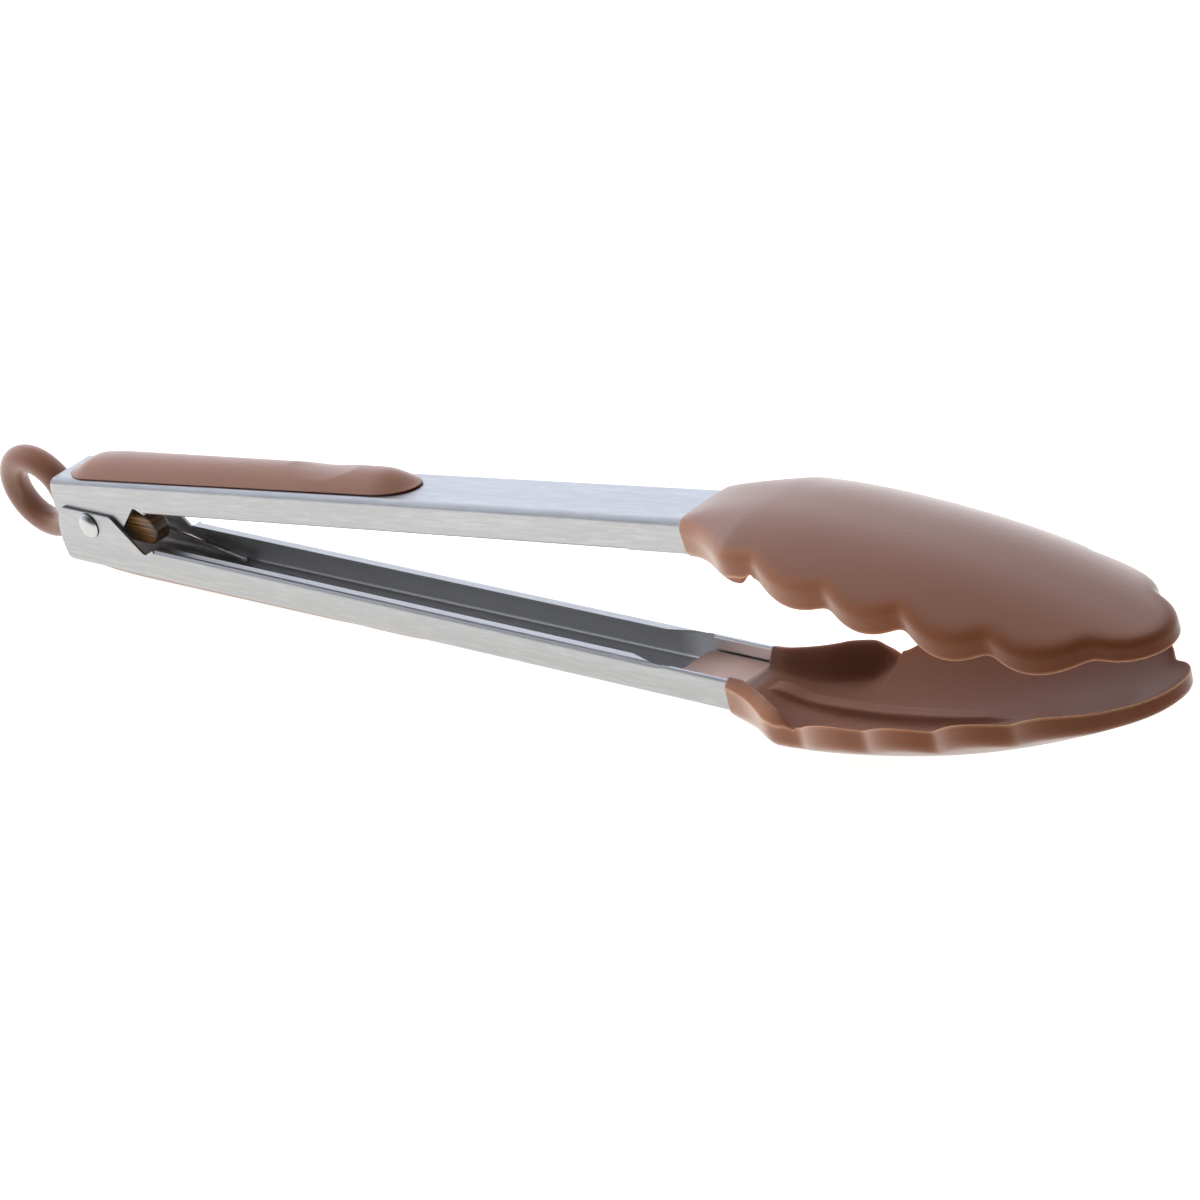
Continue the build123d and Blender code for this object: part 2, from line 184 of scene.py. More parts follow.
def pchip(points):
    """Smooth function of x through the points that does not overshoot between them."""
    xs = np.array([p[0] for p in points], float)
    ys = np.array([p[1] for p in points], float)
    h, d = np.diff(xs), np.diff(ys) / np.diff(xs)
    m = np.zeros(len(xs))
    for i in range(1, len(xs) - 1):
        if d[i - 1] * d[i] > 0:
            w1, w2 = 2 * h[i] + h[i - 1], h[i] + 2 * h[i - 1]
            m[i] = (w1 + w2) / (w1 / d[i - 1] + w2 / d[i])
    m[0], m[-1] = d[0], d[-1]

    def f(x):
        x = np.clip(np.asarray(x, float), xs[0], xs[-1])
        i = np.clip(np.searchsorted(xs, x) - 1, 0, len(xs) - 2)
        t = (x - xs[i]) / h[i]
        return ((1 + 2 * t) * (1 - t) ** 2 * ys[i] + t * (1 - t) ** 2 * h[i] * m[i]
                + t * t * (3 - 2 * t) * ys[i + 1] + t * t * (t - 1) * h[i] * m[i + 1])

    return f


(root_width, root_floor, root_edge, root_power, root_inner, root_foot, root_ridge, root_ridge_z, root_crest) = (
    pchip([(row[0], row[i]) for row in ROOT]) for i in range(1, 10))
outer_floor = curve([(184, -0.75), (190, -1.9), (196, -2.5), (202, -2.7), (209, -2.4), (217, -1.6), (226, -0.3),
                     (236, 1.5), (246, 3.65), (256, 6.3), (266, 9.45), (276, 13.0), (286, 16.9), (296, 21.1)])
thickness = curve([(209, 4.65), (213, 4.85), (217, 4.95), (226, 4.7), (236, 4.4), (246, 4.3), (256, 4.3), (266, 4.3),
                   (276, 4.2), (286, 3.8), (296, 3.3)])
hollow = curve([(209, 1.0), (217, 1.5), (226, 1.45), (236, 1.2), (246, 0.9), (256, 0.6), (266, 0.3), (276, 0.1), (286, 0.0), (296, 0.0)])
rib_top = curve([(188, 3.0), (189.5, 3.45), (197, 2.85), (206, 2.75), (218, 3.6), (227, 4.75), (237, 6.3), (249, 8.75), (255, 10.15)])

START = [(184.0, 8.40), (187.0, 9.05), (190.0, 9.95), (193.2, 11.4), (196.5, 13.25), (199.5, 15.1), (201.3, 16.05),
         (203.4, 16.55), (206.0, 16.4), (208.2, 15.95)]
VALLEYS = [(209.8, 15.6), (228.6, 17.5), (246.4, 17.3), (265.0, 16.2), (283.8, 9.8)]
LOBES = [(218.9, 18.8), (237.5, 19.95), (256.2, 19.7), (276.4, 16.1)]
TIP_X = 293.0


def arc3(a, m, b, count):
    """Points of the circular arc through a, m and b."""
    a, m, b = (np.array(q, float) for q in (a, m, b))
    d = 2 * (a[0] * (m[1] - b[1]) + m[0] * (b[1] - a[1]) + b[0] * (a[1] - m[1]))
    ux = ((a @ a) * (m[1] - b[1]) + (m @ m) * (b[1] - a[1]) + (b @ b) * (a[1] - m[1])) / d
    uy = ((a @ a) * (b[0] - m[0]) + (m @ m) * (a[0] - b[0]) + (b @ b) * (m[0] - a[0])) / d
    c = np.array([ux, uy])
    t0, tm, t1 = (math.atan2(*(q - c)[::-1]) for q in (a, m, b))
    if not min(t0, t1) <= tm <= max(t0, t1):
        t0, t1 = (t0 + 2 * math.pi, t1) if t0 < t1 else (t0, t1 + 2 * math.pi)
    t = np.linspace(t0, t1, count)
    return c + np.linalg.norm(a - c) * np.stack([np.cos(t), np.sin(t)], -1)


def rim_outline():
    """Half of the plan outline, root to tip, valleys softened."""
    pts = [np.array(START)]
    for a, m, b in zip(VALLEYS[:-1], LOBES, VALLEYS[1:]):
        pts.append(arc3(a, m, b, 40)[0 if a == VALLEYS[0] else 1 :])
    tip = arc3(VALLEYS[-1], (TIP_X, 0), (VALLEYS[-1][0], -VALLEYS[-1][1]), 81)
    pts.append(tip[1:41])
    p = np.vstack(pts)
    full = np.vstack([p, (p * [1, -1])[::-1][1:]])
    q = np.column_stack([full, np.zeros(len(full))])
    q = resample(q, 1601)
    step = np.linalg.norm(np.diff(q, axis=0), axis=1).mean()
    width = 1.35 / step
    k = np.arange(-int(4 * width), int(4 * width) + 1)
    g = np.exp(-0.5 * (k / width) ** 2)
    g /= g.sum()
    pad = len(k) // 2
    lead = 2 * q[0] - q[pad:0:-1]
    tail = 2 * q[-1] - q[-2 : -pad - 2 : -1]
    soft = np.stack([np.convolve(np.concatenate([lead[:, i], q[:, i], tail[:, i]]), g, "valid") for i in range(2)], -1)
    grow = soft[:801].copy()
    grow[-1, 1] = 0.0
    return grow


def outer_z(x, y):
    bowl = outer_floor(x) + 0.00314 * np.abs(y) ** 2.6
    u = np.abs(y) / root_width(x)
    root = root_floor(x) + (root_edge(x) - root_floor(x)) * u ** root_power(x)
    k = smoothstep(203.0, 209.5, x)
    return root * (1 - k) + bowl * k


def inner_z(x, y):
    ay = np.abs(y)
    bowl = outer_floor(np.maximum(x, 209)) + thickness(np.maximum(x, 209))
    sunk = hollow(np.maximum(x, 209)) * np.clip(1 - (ay / 17.5) ** 2, 0, 1)
    bowl = np.where(np.asarray(x) < 209, root_inner(x), bowl - sunk) + 0.00324 * ay**2.6
    foot, ridge, top, crest = root_foot(x), root_ridge(x), root_ridge_z(x), root_crest(x)
    wall = root_inner(x) + (top - root_inner(x)) * smoothstep(foot, ridge, ay)
    over = np.clip((ay - ridge) / np.maximum(root_width(x) - ridge, 0.5), 0, 1.3)
    root = np.where(ay > ridge, top - (top - crest) * over**1.8, wall)
    k = smoothstep(203.5, 209.5, x)
    return root * (1 - k) + bowl * k


def rib(x, y):
    high = np.where((x > 188) & (x < 255), rib_top(x) - inner_z(x, 0 * y), 0.0)
    fade = smoothstep(188.0, 189.3, x) * (1 - smoothstep(243.0, 254.5, x))
    return np.maximum(high, 0) * fade * (1 - smoothstep(1.4, 2.1, np.abs(y)))


NEAR = np.array([0, 0.55, 1.0, 1.3, 1.48, 1.64, 1.8, 1.96, 2.12, 2.35, 2.75, 3.3])
COUNT_OUT, COUNT_IN = 34, 46


def head_spoke(p, qx):
    """Half section of the head along one spoke, from the outer keel round the rim to the inner keel."""
    end = np.array(p)
    q = np.array([qx, 0.0])
    d = end - q
    n = np.linalg.norm(d)

    def skin(f, extra=None):
        s = np.concatenate([NEAR, np.linspace(3.3, n, 220)[1:]])
        plan = q + d * (s / n)[:, None]
        z = f(plan[:, 0], plan[:, 1])
        if extra is not None:
            z = z + extra(plan[:, 0], plan[:, 1])
        return np.column_stack([plan, z])

    out, inn = skin(outer_z), skin(inner_z, rib)
    a, b = out[-1], inn[-1]
    gap = np.linalg.norm(b - a)
    ra, rb = min(1.7, 0.42 * gap), min(0.34, 0.2 * gap)
    o_cut, i_cut = trim(out, ra), trim(inn, rb)
    face = (b - a) / gap
    a2, b2 = a + face * ra, b - face * rb
    outer_part = resample(o_cut, COUNT_OUT)
    far = resample(i_cut[len(NEAR) - 1 :], COUNT_IN)[1:]
    inner_part = np.vstack([i_cut[: len(NEAR)], far])
    mid = a2 + (b2 - a2) * np.linspace(0, 1, 6)[:, None]
    return np.vstack([outer_part, corner(o_cut[-1], a, a2, 9), mid, corner(b2, b, i_cut[-1], 4), inner_part[::-1]]), a, b


def tongue_mesh():
    """Silicone that lies in the channel ahead of the sleeve."""
    half, top, start, end, r = 6.4, 3.88, 166.6, 185.4, 1.3
    plan = [(end, -half + 0.6)]
    plan += [(x, -half) for x in np.linspace(end - 2, start + r + 0.6, 12)]
    plan += [(start + r - r * math.sin(t), -half + r - r * math.cos(t)) for t in np.linspace(0, math.pi / 2, 9)]
    plan += [(start, y) for y in np.linspace(-half + r + 0.6, half - r - 0.6, 11)]
    plan += [(start + r - r * math.cos(t), half - r + r * math.sin(t)) for t in np.linspace(0, math.pi / 2, 9)]
    plan += [(x, half) for x in np.linspace(start + r + 0.6, end - 2, 12)]
    plan += [(end, half - 0.6)]
    plan = np.array(plan)
    c = np.array([(start + end) / 2, 0.0])
    rings = []
    for inset, z in ((0, 0.62), (0, 3.35), (0.06, 3.6), (0.2, 3.78), (0.42, 3.86), (0.8, top)):
        scale = np.array([(end - start) / 2 - inset, half - inset]) / np.array([(end - start) / 2, half])
        rings.append(np.column_stack([c + (plan - c) * scale, np.full(len(plan), z)]))
    for f in (0.75, 0.45, 0.15):
        rings.append(np.column_stack([c + (rings[5][:, :2] - c) * f, np.full(len(plan), top)]))
    n = len(plan)
    verts = np.vstack(rings)
    faces = []
    for i in range(len(rings) - 1):
        for j in range(n):
            k = (j + 1) % n
            faces.append((i * n + j, i * n + k, (i + 1) * n + k, (i + 1) * n + j))
    faces.append(tuple(range(n))[::-1])
    faces.append(tuple((len(rings) - 1) * n + j for j in range(n)))
    return verts, faces


def head_mesh(place, name, body, node):
    outline = rim_outline()
    half = outline[np.unique(np.round(np.linspace(0, 800, 217)).astype(int))]
    step = np.concatenate([[0], np.cumsum(np.linalg.norm(np.diff(half, axis=0), axis=1))])
    turn = np.argmax(half[:, 0] > 262)
    qx = half[:, 0].copy()
    qx[turn:] = half[turn - 1, 0] + (step[turn:] - step[turn - 1]) / (step[-1] - step[turn - 1]) * 19.0
    made = [head_spoke(p, q) for p, q in zip(half, qx)]
    spokes = [m[0] for m in made]
    edge = np.array([m[1] for m in made])
    crest = np.array([m[2] for m in made])
    # softened end of the sleeve
    first = spokes[0]
    shrink, n = first.copy(), len(first)
    for j in range(1, n - 1):
        t = first[j + 1] - first[j - 1]
        normal = np.array([0, t[2], -t[1]])
        length = np.linalg.norm(normal)
        if length > 1e-9:
            shrink[j] -= normal / length * 0.2
    shrink[0, 2] += 0.2
    shrink[-1, 2] -= 0.2
    lead = first.copy()
    lead[:, 0] = 184.2
    spokes = [shrink, lead] + spokes[1:]
    m = len(spokes)
    right = np.vstack(spokes)
    verts = np.vstack([right, right * [1, -1, 1]])
    faces = []
    for side in (0, 1):
        o = side * m * n
        for i in range(m - 1):
            for j in range(n - 1):
                f = (o + i * n + j, o + (i + 1) * n + j, o + (i + 1) * n + j + 1, o + i * n + j + 1)
                faces.append(f if side == 0 else f[::-1])
        # the flat end of the sleeve, as strips between the outer and inner skins
        for j in range(n // 2 - 1):
            f = (o + j, o + j + 1, o + n - 2 - j, o + n - 1 - j)
            faces.append(f if side == 0 else f[::-1])
        if n % 2:
            j = n // 2 - 1
            f = (o + j, o + j + 1, o + n - 1 - j)
            faces.append(f if side == 0 else f[::-1])
    obj = new_object(name, place(verts), faces, None)
    tidy(obj, 2e-6)
    tv, tf = tongue_mesh()
    tongue = new_object(name + "_tongue", place(tv), tf, None)
    tidy(tongue)
    boolean(obj, tongue, "UNION")
    obj.data.name = name
    for f in obj.data.polygons:
        f.use_smooth = True
    # masks for the painted rim glow and the painted crest highlight: how near each point is to the rim band and to its
    # sharp crest
    band, line = KDTree(2 * 7 * len(edge)), KDTree(2 * len(crest))
    i = 0
    for sign in (1, -1):
        for a, b in zip(place(edge * [1, sign, 1]), place(crest * [1, sign, 1])):
            for f in np.linspace(0, 1, 7):
                band.insert(a + (b - a) * f, i)
                i += 1
    for k, p in enumerate(np.vstack([place(crest), place(crest * [1, -1, 1])])):
        line.insert(p, k)
    band.balance()
    line.balance()
    rim = obj.data.attributes.new("rim", "FLOAT", "POINT")
    crest_highlight_layer = obj.data.attributes.new("crest", "FLOAT", "POINT")
    near = np.array([[band.find(v.co)[2], line.find(v.co)[2]] for v in obj.data.vertices])
    rim.data.foreach_set("value", 1 - smoothstep(0.0, 0.0042, near[:, 0]))
    crest_highlight_layer.data.foreach_set("value", 1 - smoothstep(0.00015, 0.00045, near[:, 1]))
    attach(obj, body)
    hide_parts(node)
    return obj


lower_head = head_mesh(to_lower, "lower_scoop", "lower", "lower_head")
upper_head = head_mesh(to_upper, "upper_scoop", "upper", "upper_head")


# ------------------------------------------------------------------
# Silicone grip pads
# ------------------------------------------------------------------
GRIP_H = 3.7


def grip_outline(count=360):
    x = [1.0, 91.0]
    half = [5.75, 5.0]
    nose = [(91 + 11.2 * math.sin(t), 5.0 * math.cos(t) ** 0.92) for t in np.linspace(0, math.pi / 2, 40)]
    start = [(1.0 - 7.3 * math.cos(t), 5.75 * math.sin(t) ** 0.92) for t in np.linspace(0, math.pi / 2, 40)]
    top = start + [(v, np.interp(v, x, half)) for v in np.linspace(3, 89, 60)] + nose
    loop = np.array(top + [(u, -v) for u, v in reversed(top[1:-1])])
    q = resample(np.column_stack([np.vstack([loop, loop[:1]]), np.zeros(len(loop) + 1)]), count + 1)
    return q[:-1, :2]


def grip_height(x, y, rim):
    """Dome over the plan: rim is 0 on the spine and 1 on the outline."""
    crown = GRIP_H * np.minimum(
        np.sqrt(np.clip(1 - ((12.5 - np.minimum(x, 12.5)) / 20.5) ** 2.2, 0, 1)),
        np.clip(1 - ((np.maximum(x, 84) - 84) / 19.2) ** 4.2, 0, 1) ** 0.8)
    wall = np.minimum(0.4, crown)
    z = wall + (crown - wall) * np.clip(1 - rim**2.3, 0, 1)
    # thumb dish with a defined brim
    d = np.sqrt(((x - 74.5) / 10.6) ** 2 + (y / 3.7) ** 2)
    return z - 0.62 * np.clip(1 - d**2.4, 0, 1)


def grip_mesh(place, name, body, node):
    loop = grip_outline()
    n = len(loop)
    qx = np.clip(loop[:, 0], 3.0, 92.0)
    spine = np.column_stack([qx, np.zeros(n)])
    levels = list(np.linspace(0, 1, 25) ** 0.85)
    rings = []
    for r in levels[:-1]:
        plan = spine + (loop - spine) * r * 0.985
        z = grip_height(plan[:, 0], plan[:, 1], np.full(n, r))
        rings.append(np.column_stack([plan, -z]))
    edge = spine + (loop - spine) * 0.985
    for f, z in ((0.993, 0.46), (0.9985, 0.38), (1.0, 0.30), (0.998, 0.24), (0.985, 0.20), (0.93, 0.18), (0.92, 0.0)):
        rings.append(np.column_stack([spine + (loop - spine) * f, np.full(n, -z)]))
    verts = np.vstack(rings)
    m = len(rings)
    faces = []
    for i in range(m - 1):
        for j in range(n):
            k = (j + 1) % n
            faces.append((i * n + j, (i + 1) * n + j, (i + 1) * n + k, i * n + k))
    faces.append(tuple((m - 1) * n + j for j in range(n)))
    obj = new_object(name, place(verts), faces, None)
    tidy(obj, 2e-6)
    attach(obj, body)
    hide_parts(node)
    return obj


lower_grip = grip_mesh(to_lower, "lower_pad", "lower", "lower_grip")
upper_grip = grip_mesh(to_upper, "upper_pad", "upper", "upper_grip")


# ------------------------------------------------------------------
# Ring with its moulding line, swollen where it takes the neck of the slide
# ------------------------------------------------------------------
def ring_mesh():
    big, tube, lean = 8.3, 3.0, math.radians(8.0)
    nu, nv = 128, 56
    verts = []
    for i in range(nu):
        a = 2 * math.pi * i / nu
        # thicker where it takes the neck of the slide
        swell = 1 + 0.10 * math.exp(-((math.remainder(a, 2 * math.pi) / 0.42) ** 2))
        for j in range(nv):
            b = 2 * math.pi * j / nv
            bead = 0.055 * math.exp(-((math.remainder(b, 2 * math.pi) / 0.045) ** 2))
            r = tube + bead
            rad = big + r * math.cos(b)
            verts.append((rad * math.cos(a), r * math.sin(b) * swell, rad * math.sin(a)))
    v = np.array(verts)
    c, s = math.cos(lean), math.sin(lean)
    y, z = v[:, 1] * c - v[:, 2] * s, v[:, 1] * s + v[:, 2] * c
    v = np.column_stack([v[:, 0] - 22.6, y, z + PIVOT_Z + 1.2])
    faces = []
    for i in range(nu):
        for j in range(nv):
            k, l = (i + 1) % nu, (j + 1) % nv
            faces.append((i * nv + j, k * nv + j, k * nv + l, i * nv + l))
    obj = new_object("ring", to_lower(v), faces, None)
    tidy(obj)
    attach(obj, "lock")
    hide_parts("pull_ring")
    return obj


ring = ring_mesh()


# ------------------------------------------------------------------
# Lock slide: slotted bar with a rounded nose and a neck
# ------------------------------------------------------------------
def prism(outline, y0, y1, bevel, steps=4):
    """Solid from a closed outline in x and z, its long edges rounded."""
    p = np.array(outline, float)
    n = len(p)
    t = np.roll(p, -1, 0) - np.roll(p, 1, 0)
    nrm = np.column_stack([t[:, 1], -t[:, 0]])
    nrm /= np.linalg.norm(nrm, axis=1)[:, None]
    area = 0.5 * np.sum(p[:, 0] * np.roll(p[:, 1], -1) - np.roll(p[:, 0], -1) * p[:, 1])
    if area < 0:
        nrm = -nrm
    rings = []
    for k in range(steps + 1):
        a = math.pi / 2 * k / steps
        q = p - nrm * bevel * (1 - math.sin(a))
        rings.append(np.column_stack([q[:, 0], np.full(n, y0 + bevel * (1 - math.cos(a))), q[:, 1]]))
    for k in range(steps + 1):
        a = math.pi / 2 * (1 - k / steps)
        q = p - nrm * bevel * (1 - math.sin(a))
        rings.append(np.column_stack([q[:, 0], np.full(n, y1 - bevel * (1 - math.cos(a))), q[:, 1]]))
    verts = np.vstack(rings)
    m = len(rings)
    faces = []
    for i in range(m - 1):
        for j in range(n):
            k = (j + 1) % n
            faces.append((i * n + j, (i + 1) * n + j, (i + 1) * n + k, i * n + k))
    faces.append(tuple(range(n)))
    faces.append(tuple((m - 1) * n + j for j in range(n))[::-1])
    return verts, faces


def slide_mesh():
    h, x0, x1 = 3.4, -9.0, 18.5
    nose = [(x1 - h + h * math.sin(t), PIVOT_Z - h * math.cos(t)) for t in np.linspace(0, math.pi, 33)]
    back = [(x0 + 0.8 - 0.8 * math.sin(t), PIVOT_Z + h - 0.8 + 0.8 * math.cos(t)) for t in np.linspace(0, math.pi / 2, 7)]
    back += [(x0 + 0.8 - 0.8 * math.cos(t), PIVOT_Z - h + 0.8 - 0.8 * math.sin(t)) for t in np.linspace(0, math.pi / 2, 7)]
    bottom = [(x, PIVOT_Z - h) for x in np.linspace(x0 + 1.8, x1 - h - 1, 14)]
    top = [(x, PIVOT_Z + h) for x in np.linspace(x1 - h - 1, x0 + 1.8, 14)]
    v, f = prism(bottom + nose + top + back, -4.4, -0.4, 0.55)
    bar = new_object("slide", to_lower(v), f, None)
    tidy(bar)
    # slot that rides on the rivet shank
    r, travel = 1.9, 3.1
    slot = [(r * math.cos(t) + travel, PIVOT_Z + r * math.sin(t)) for t in np.linspace(-math.pi / 2, math.pi / 2, 21)]
    slot += [(r * math.cos(t), PIVOT_Z + r * math.sin(t)) for t in np.linspace(math.pi / 2, 3 * math.pi / 2, 21)]
    v, f = prism(slot, -6.0, 1.0, 0.02, 1)
    hole = new_object("slide_slot", to_lower(v), f, None)
    tidy(hole)
    boolean(bar, hole, "DIFFERENCE")
    neck_out = []
    w, hh, cx = 3.1, 1.7, -10.9
    for sx, sz, a0 in ((1, -1, -90), (1, 1, 0), (-1, 1, 90), (-1, -1, 180)):
        for a in np.linspace(0, 90, 6):
            t = math.radians(a0 + a)
            neck_out.append((cx + sx * (w - 0.5) + 0.5 * math.cos(t), PIVOT_Z + sz * (hh - 0.5) + 0.5 * math.sin(t)))
    v, f = prism(neck_out, -3.3, 1.9, 0.45)
    neck = new_object("slide_neck", to_lower(v), f, None)
    tidy(neck)
    boolean(bar, neck, "UNION")
    for face in bar.data.polygons:
        face.use_smooth = True
    edge = bar.modifiers.new("angle", "EDGE_SPLIT")
    edge.split_angle = math.radians(38)
    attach(bar, "lock")
    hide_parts("lock_slider")
    return bar


slide = slide_mesh()


# ------------------------------------------------------------------
# Hinge rivet: turned shank with two pressed dome heads
# ------------------------------------------------------------------
def lathe(profile, count=96):
    """Solid of revolution about Y from (radius, y) points."""
    p = np.array(profile, float)
    verts, faces, n = [], [], len(p)
    for i in range(count):
        a = 2 * math.pi * i / count
        for r, y in p:
            verts.append((r * math.cos(a), y, PIVOT_Z + r * math.sin(a)))
    for i in range(count):
        k = (i + 1) % count
        for j in range(n - 1):
            faces.append((i * n + j, i * n + j + 1, k * n + j + 1, k * n + j))
    return np.array(verts), faces


def rivet_mesh():
    face_y = 7.25
    half = [(0.0, 1.15), (0.5, 1.145), (1.0, 1.11), (1.45, 1.04), (1.9, 0.91), (2.25, 0.75), (2.5, 0.58), (2.7, 0.4),
            (2.81, 0.26), (2.84, 0.18), (2.8, 0.13), (2.7, 0.11), (2.35, 0.1), (2.3, 0.04), (2.28, 0.0), (1.95, -0.01), (1.8, -0.06)]
    half = [(r, face_y + y) for r, y in half]
    profile = half + [(r, -y) for r, y in reversed(half)]
    v, f = lathe(profile)
    obj = new_object("rivet", to_lower(v), f, None)
    tidy(obj, 2e-6)
    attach(obj, "lower")
    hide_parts("hinge_rivet")
    return obj


rivet = rivet_mesh()


# ------------------------------------------------------------------
# Torsion spring: one wire, four close turns and two straight legs
# ------------------------------------------------------------------
def spring_mesh():
    wire, coil, y0, y1 = 1.1, 3.3, 1.05, 5.0
    leg_low, leg_up = math.radians(-8.6), math.radians(15.0)
    phi0, phi1 = math.pi / 2 + leg_up, math.radians(-90 - 8.6 + 4 * 360)
    path = []
    for d in np.linspace(24, 0.4, 30):
        path.append((coil * math.cos(phi0) + d * math.cos(leg_up), y0, PIVOT_Z + coil * math.sin(phi0) + d * math.sin(leg_up)))
    for f in np.linspace(0, 1, 190):
        a = phi0 + (phi1 - phi0) * f
        path.append((coil * math.cos(a), y0 + (y1 - y0) * f, PIVOT_Z + coil * math.sin(a)))
    for d in np.linspace(0.4, 35, 40):
        path.append((coil * math.cos(phi1) + d * math.cos(leg_low), y1, PIVOT_Z + coil * math.sin(phi1) + d * math.sin(leg_low)))
    p = np.array(path)
    t = np.gradient(p, axis=0)
    t /= np.linalg.norm(t, axis=1)[:, None]
    side = np.cross(t, [0, 1.0, 0])
    side /= np.linalg.norm(side, axis=1)[:, None]
    up = np.cross(side, t)
    ring_n = 18
    shape = [(math.cos(a), math.sin(a)) for a in np.linspace(0, 2 * math.pi, ring_n, endpoint=False)]
    stations = [(0, -0.09, 0.6), (0, -0.03, 0.88)] + [(i, 0.0, 1.0) for i in range(len(p))] + [(len(p) - 1, 0.03, 0.88), (len(p) - 1, 0.09, 0.6)]
    verts = []
    for i, push, f in stations:
        c = p[i] + t[i] * push
        for a, b in shape:
            verts.append(c + (side[i] * a + up[i] * b) * wire / 2 * f)
    m, faces = len(stations), []
    for i in range(m - 1):
        for j in range(ring_n):
            k = (j + 1) % ring_n
            faces.append((i * ring_n + j, i * ring_n + k, (i + 1) * ring_n + k, (i + 1) * ring_n + j))
    faces.append(tuple(range(ring_n))[::-1])
    faces.append(tuple((m - 1) * ring_n + j for j in range(ring_n)))
    obj = new_object("spring", to_lower(np.array(verts)), faces, None)
    tidy(obj)
    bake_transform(obj)
    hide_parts("torsion_spring")
    return obj


spring = spring_mesh()


# ------------------------------------------------------------------
# Materials
# ------------------------------------------------------------------
class Tree:
    """Small helper for building a material's nodes."""

    def __init__(self, name):
        self.mat = bpy.data.materials.new(name)
        self.mat.use_nodes = True
        self.t = self.mat.node_tree
        self.bsdf = next(n for n in self.t.nodes if n.type == "BSDF_PRINCIPLED")

    def node(self, kind, links=None, **values):
        n = self.t.nodes.new(kind)
        for k, v in values.items():
            setattr(n, k, v)
        for k, v in (links or {}).items():
            self.put(n.inputs[k], v)
        return n

    def put(self, socket, v):
        if isinstance(v, bpy.types.NodeSocket):
            self.t.links.new(v, socket)
        else:
            socket.default_value = v

    def coords(self, scale, turn=(0, 0, 0)):
        c = self.node("ShaderNodeTexCoord")
        m = self.node("ShaderNodeMapping", {"Vector": c.outputs["Object"], "Rotation": turn})
        s = self.node("ShaderNodeVectorMath", {0: m.outputs[0], 1: scale}, operation="MULTIPLY")
        return s.outputs[0]

    def noise(self, vector, scale, detail=3.0, rough=0.5, distortion=0.0):
        n = self.node("ShaderNodeTexNoise", {"Vector": vector, "Scale": scale, "Detail": detail, "Roughness": rough, "Distortion": distortion})
        return n.outputs["Fac"]

    def ramp(self, fac, stops, interpolation="LINEAR"):
        n = self.node("ShaderNodeValToRGB", {"Fac": fac})
        n.color_ramp.interpolation = interpolation
        e = n.color_ramp.elements
        while len(e) < len(stops):
            e.new(0.5)
        for el, (pos, col) in zip(e, stops):
            el.position = pos
            el.color = (*col, 1) if len(col) == 3 else col
        return n.outputs["Color"]

    def mix(self, fac, a, b, mode="MIX"):
        n = self.node("ShaderNodeMix", data_type="RGBA", blend_type=mode)
        self.put(n.inputs[0], fac)
        self.put(n.inputs[6], a if isinstance(a, bpy.types.NodeSocket) else (*a, 1))
        self.put(n.inputs[7], b if isinstance(b, bpy.types.NodeSocket) else (*b, 1))
        return n.outputs[2]

    def span(self, v, a, b, c, d):
        n = self.node("ShaderNodeMapRange", {"Value": v, "From Min": a, "From Max": b, "To Min": c, "To Max": d})
        return n.outputs[0]

    def math(self, op, a, b=0.0):
        n = self.node("ShaderNodeMath", {0: a, 1: b}, operation=op)
        return n.outputs[0]

    def bump(self, height, strength, distance, normal=None):
        links = {"Height": height, "Strength": strength, "Distance": distance}
        if normal is not None:
            links["Normal"] = normal
        return self.node("ShaderNodeBump", links).outputs[0]

    def set(self, **values):
        for k, v in values.items():
            self.put(self.bsdf.inputs[k.replace("_", " ")], v)


